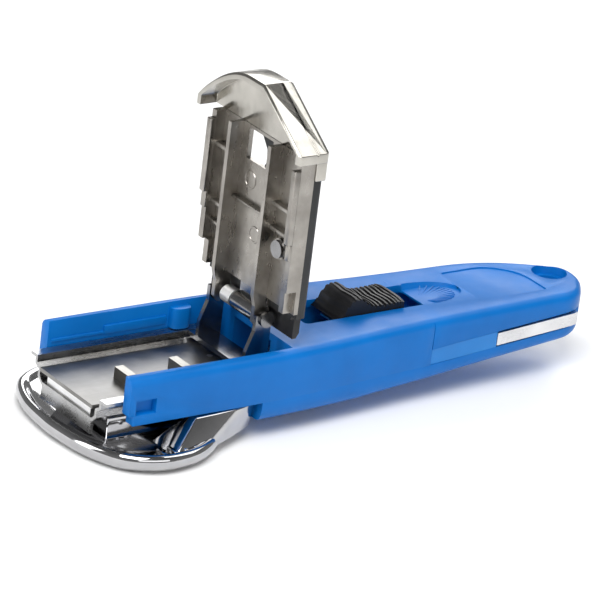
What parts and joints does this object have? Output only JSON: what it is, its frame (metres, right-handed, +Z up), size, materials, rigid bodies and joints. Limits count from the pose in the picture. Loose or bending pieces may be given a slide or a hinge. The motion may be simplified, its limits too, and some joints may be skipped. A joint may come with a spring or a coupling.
{
  "type": "safety carton cutter",
  "caption": "Hand-held carton cutter with a flip-up head cover, a sliding blade tray, a thumb slider and a wide plated guard foot.",
  "frame": {"origin": "on the ground under the middle of the whole box, cover standing open", "axes": "+Z up, -X towards the nose, -Y towards the flank that carries the tape splitter"},
  "size_m": [0.156, 0.058, 0.0862],
  "materials": {
    "blue": "moulded, satin",
    "tinted": "moulded, satin",
    "splitter_steel": "brushed",
    "channel_steel": "rolled sheet",
    "tray_steel": "brushed",
    "screw_steel": "plated",
    "black_plastic": "fine texture",
    "hinge_steel": "polished",
    "spring_steel": "drawn wire",
    "nickel_casting": "satin die casting",
    "nose_chrome": "satin plated",
    "dark_plastic": "fine texture",
    "foot_chrome": "mirror plated"
  },
  "bodies": {
    "grip": {"upper_shell": "blue", "lower_shell": "blue", "side_insert": "tinted", "tape_splitter": "splitter_steel", "steel_channel": "channel_steel", "tray_runner": "channel_steel", "hinge_bracket": "hinge_steel", "bracket_side_tabs": "hinge_steel", "hinge_pin": "hinge_steel", "hinge_spring": "spring_steel", "guard_foot": "foot_chrome", "foot_screws": "screw_steel", "shell_screws": "screw_steel"},
    "carriage": {"blade_tray": "tray_steel", "tray_lugs": "tray_steel", "link_bar": "channel_steel", "link_rivets": "screw_steel", "thumb_slider": "black_plastic", "slider_stem": "black_plastic", "detent_spring": "channel_steel"},
    "cover": {"cover_frame": "nickel_casting", "hinge_sleeve": "hinge_steel", "cover_nose": "nose_chrome", "cover_plate": "dark_plastic", "plate_screw": "screw_steel", "cover_end_cap": "black_plastic"}
  },
  "joints": [
    {"name": "cover_flip", "type": "hinge", "parent": "grip", "child": "cover", "pos_m": [-0.0244, 0, 0.0276], "axis": [0, -1, 0], "range_deg": [0, 90]},
    {"name": "blade_slide", "type": "slide", "parent": "grip", "child": "carriage", "axis": [-1, 0, 0], "range_m": [-0.007, 0.008]}
  ]
}
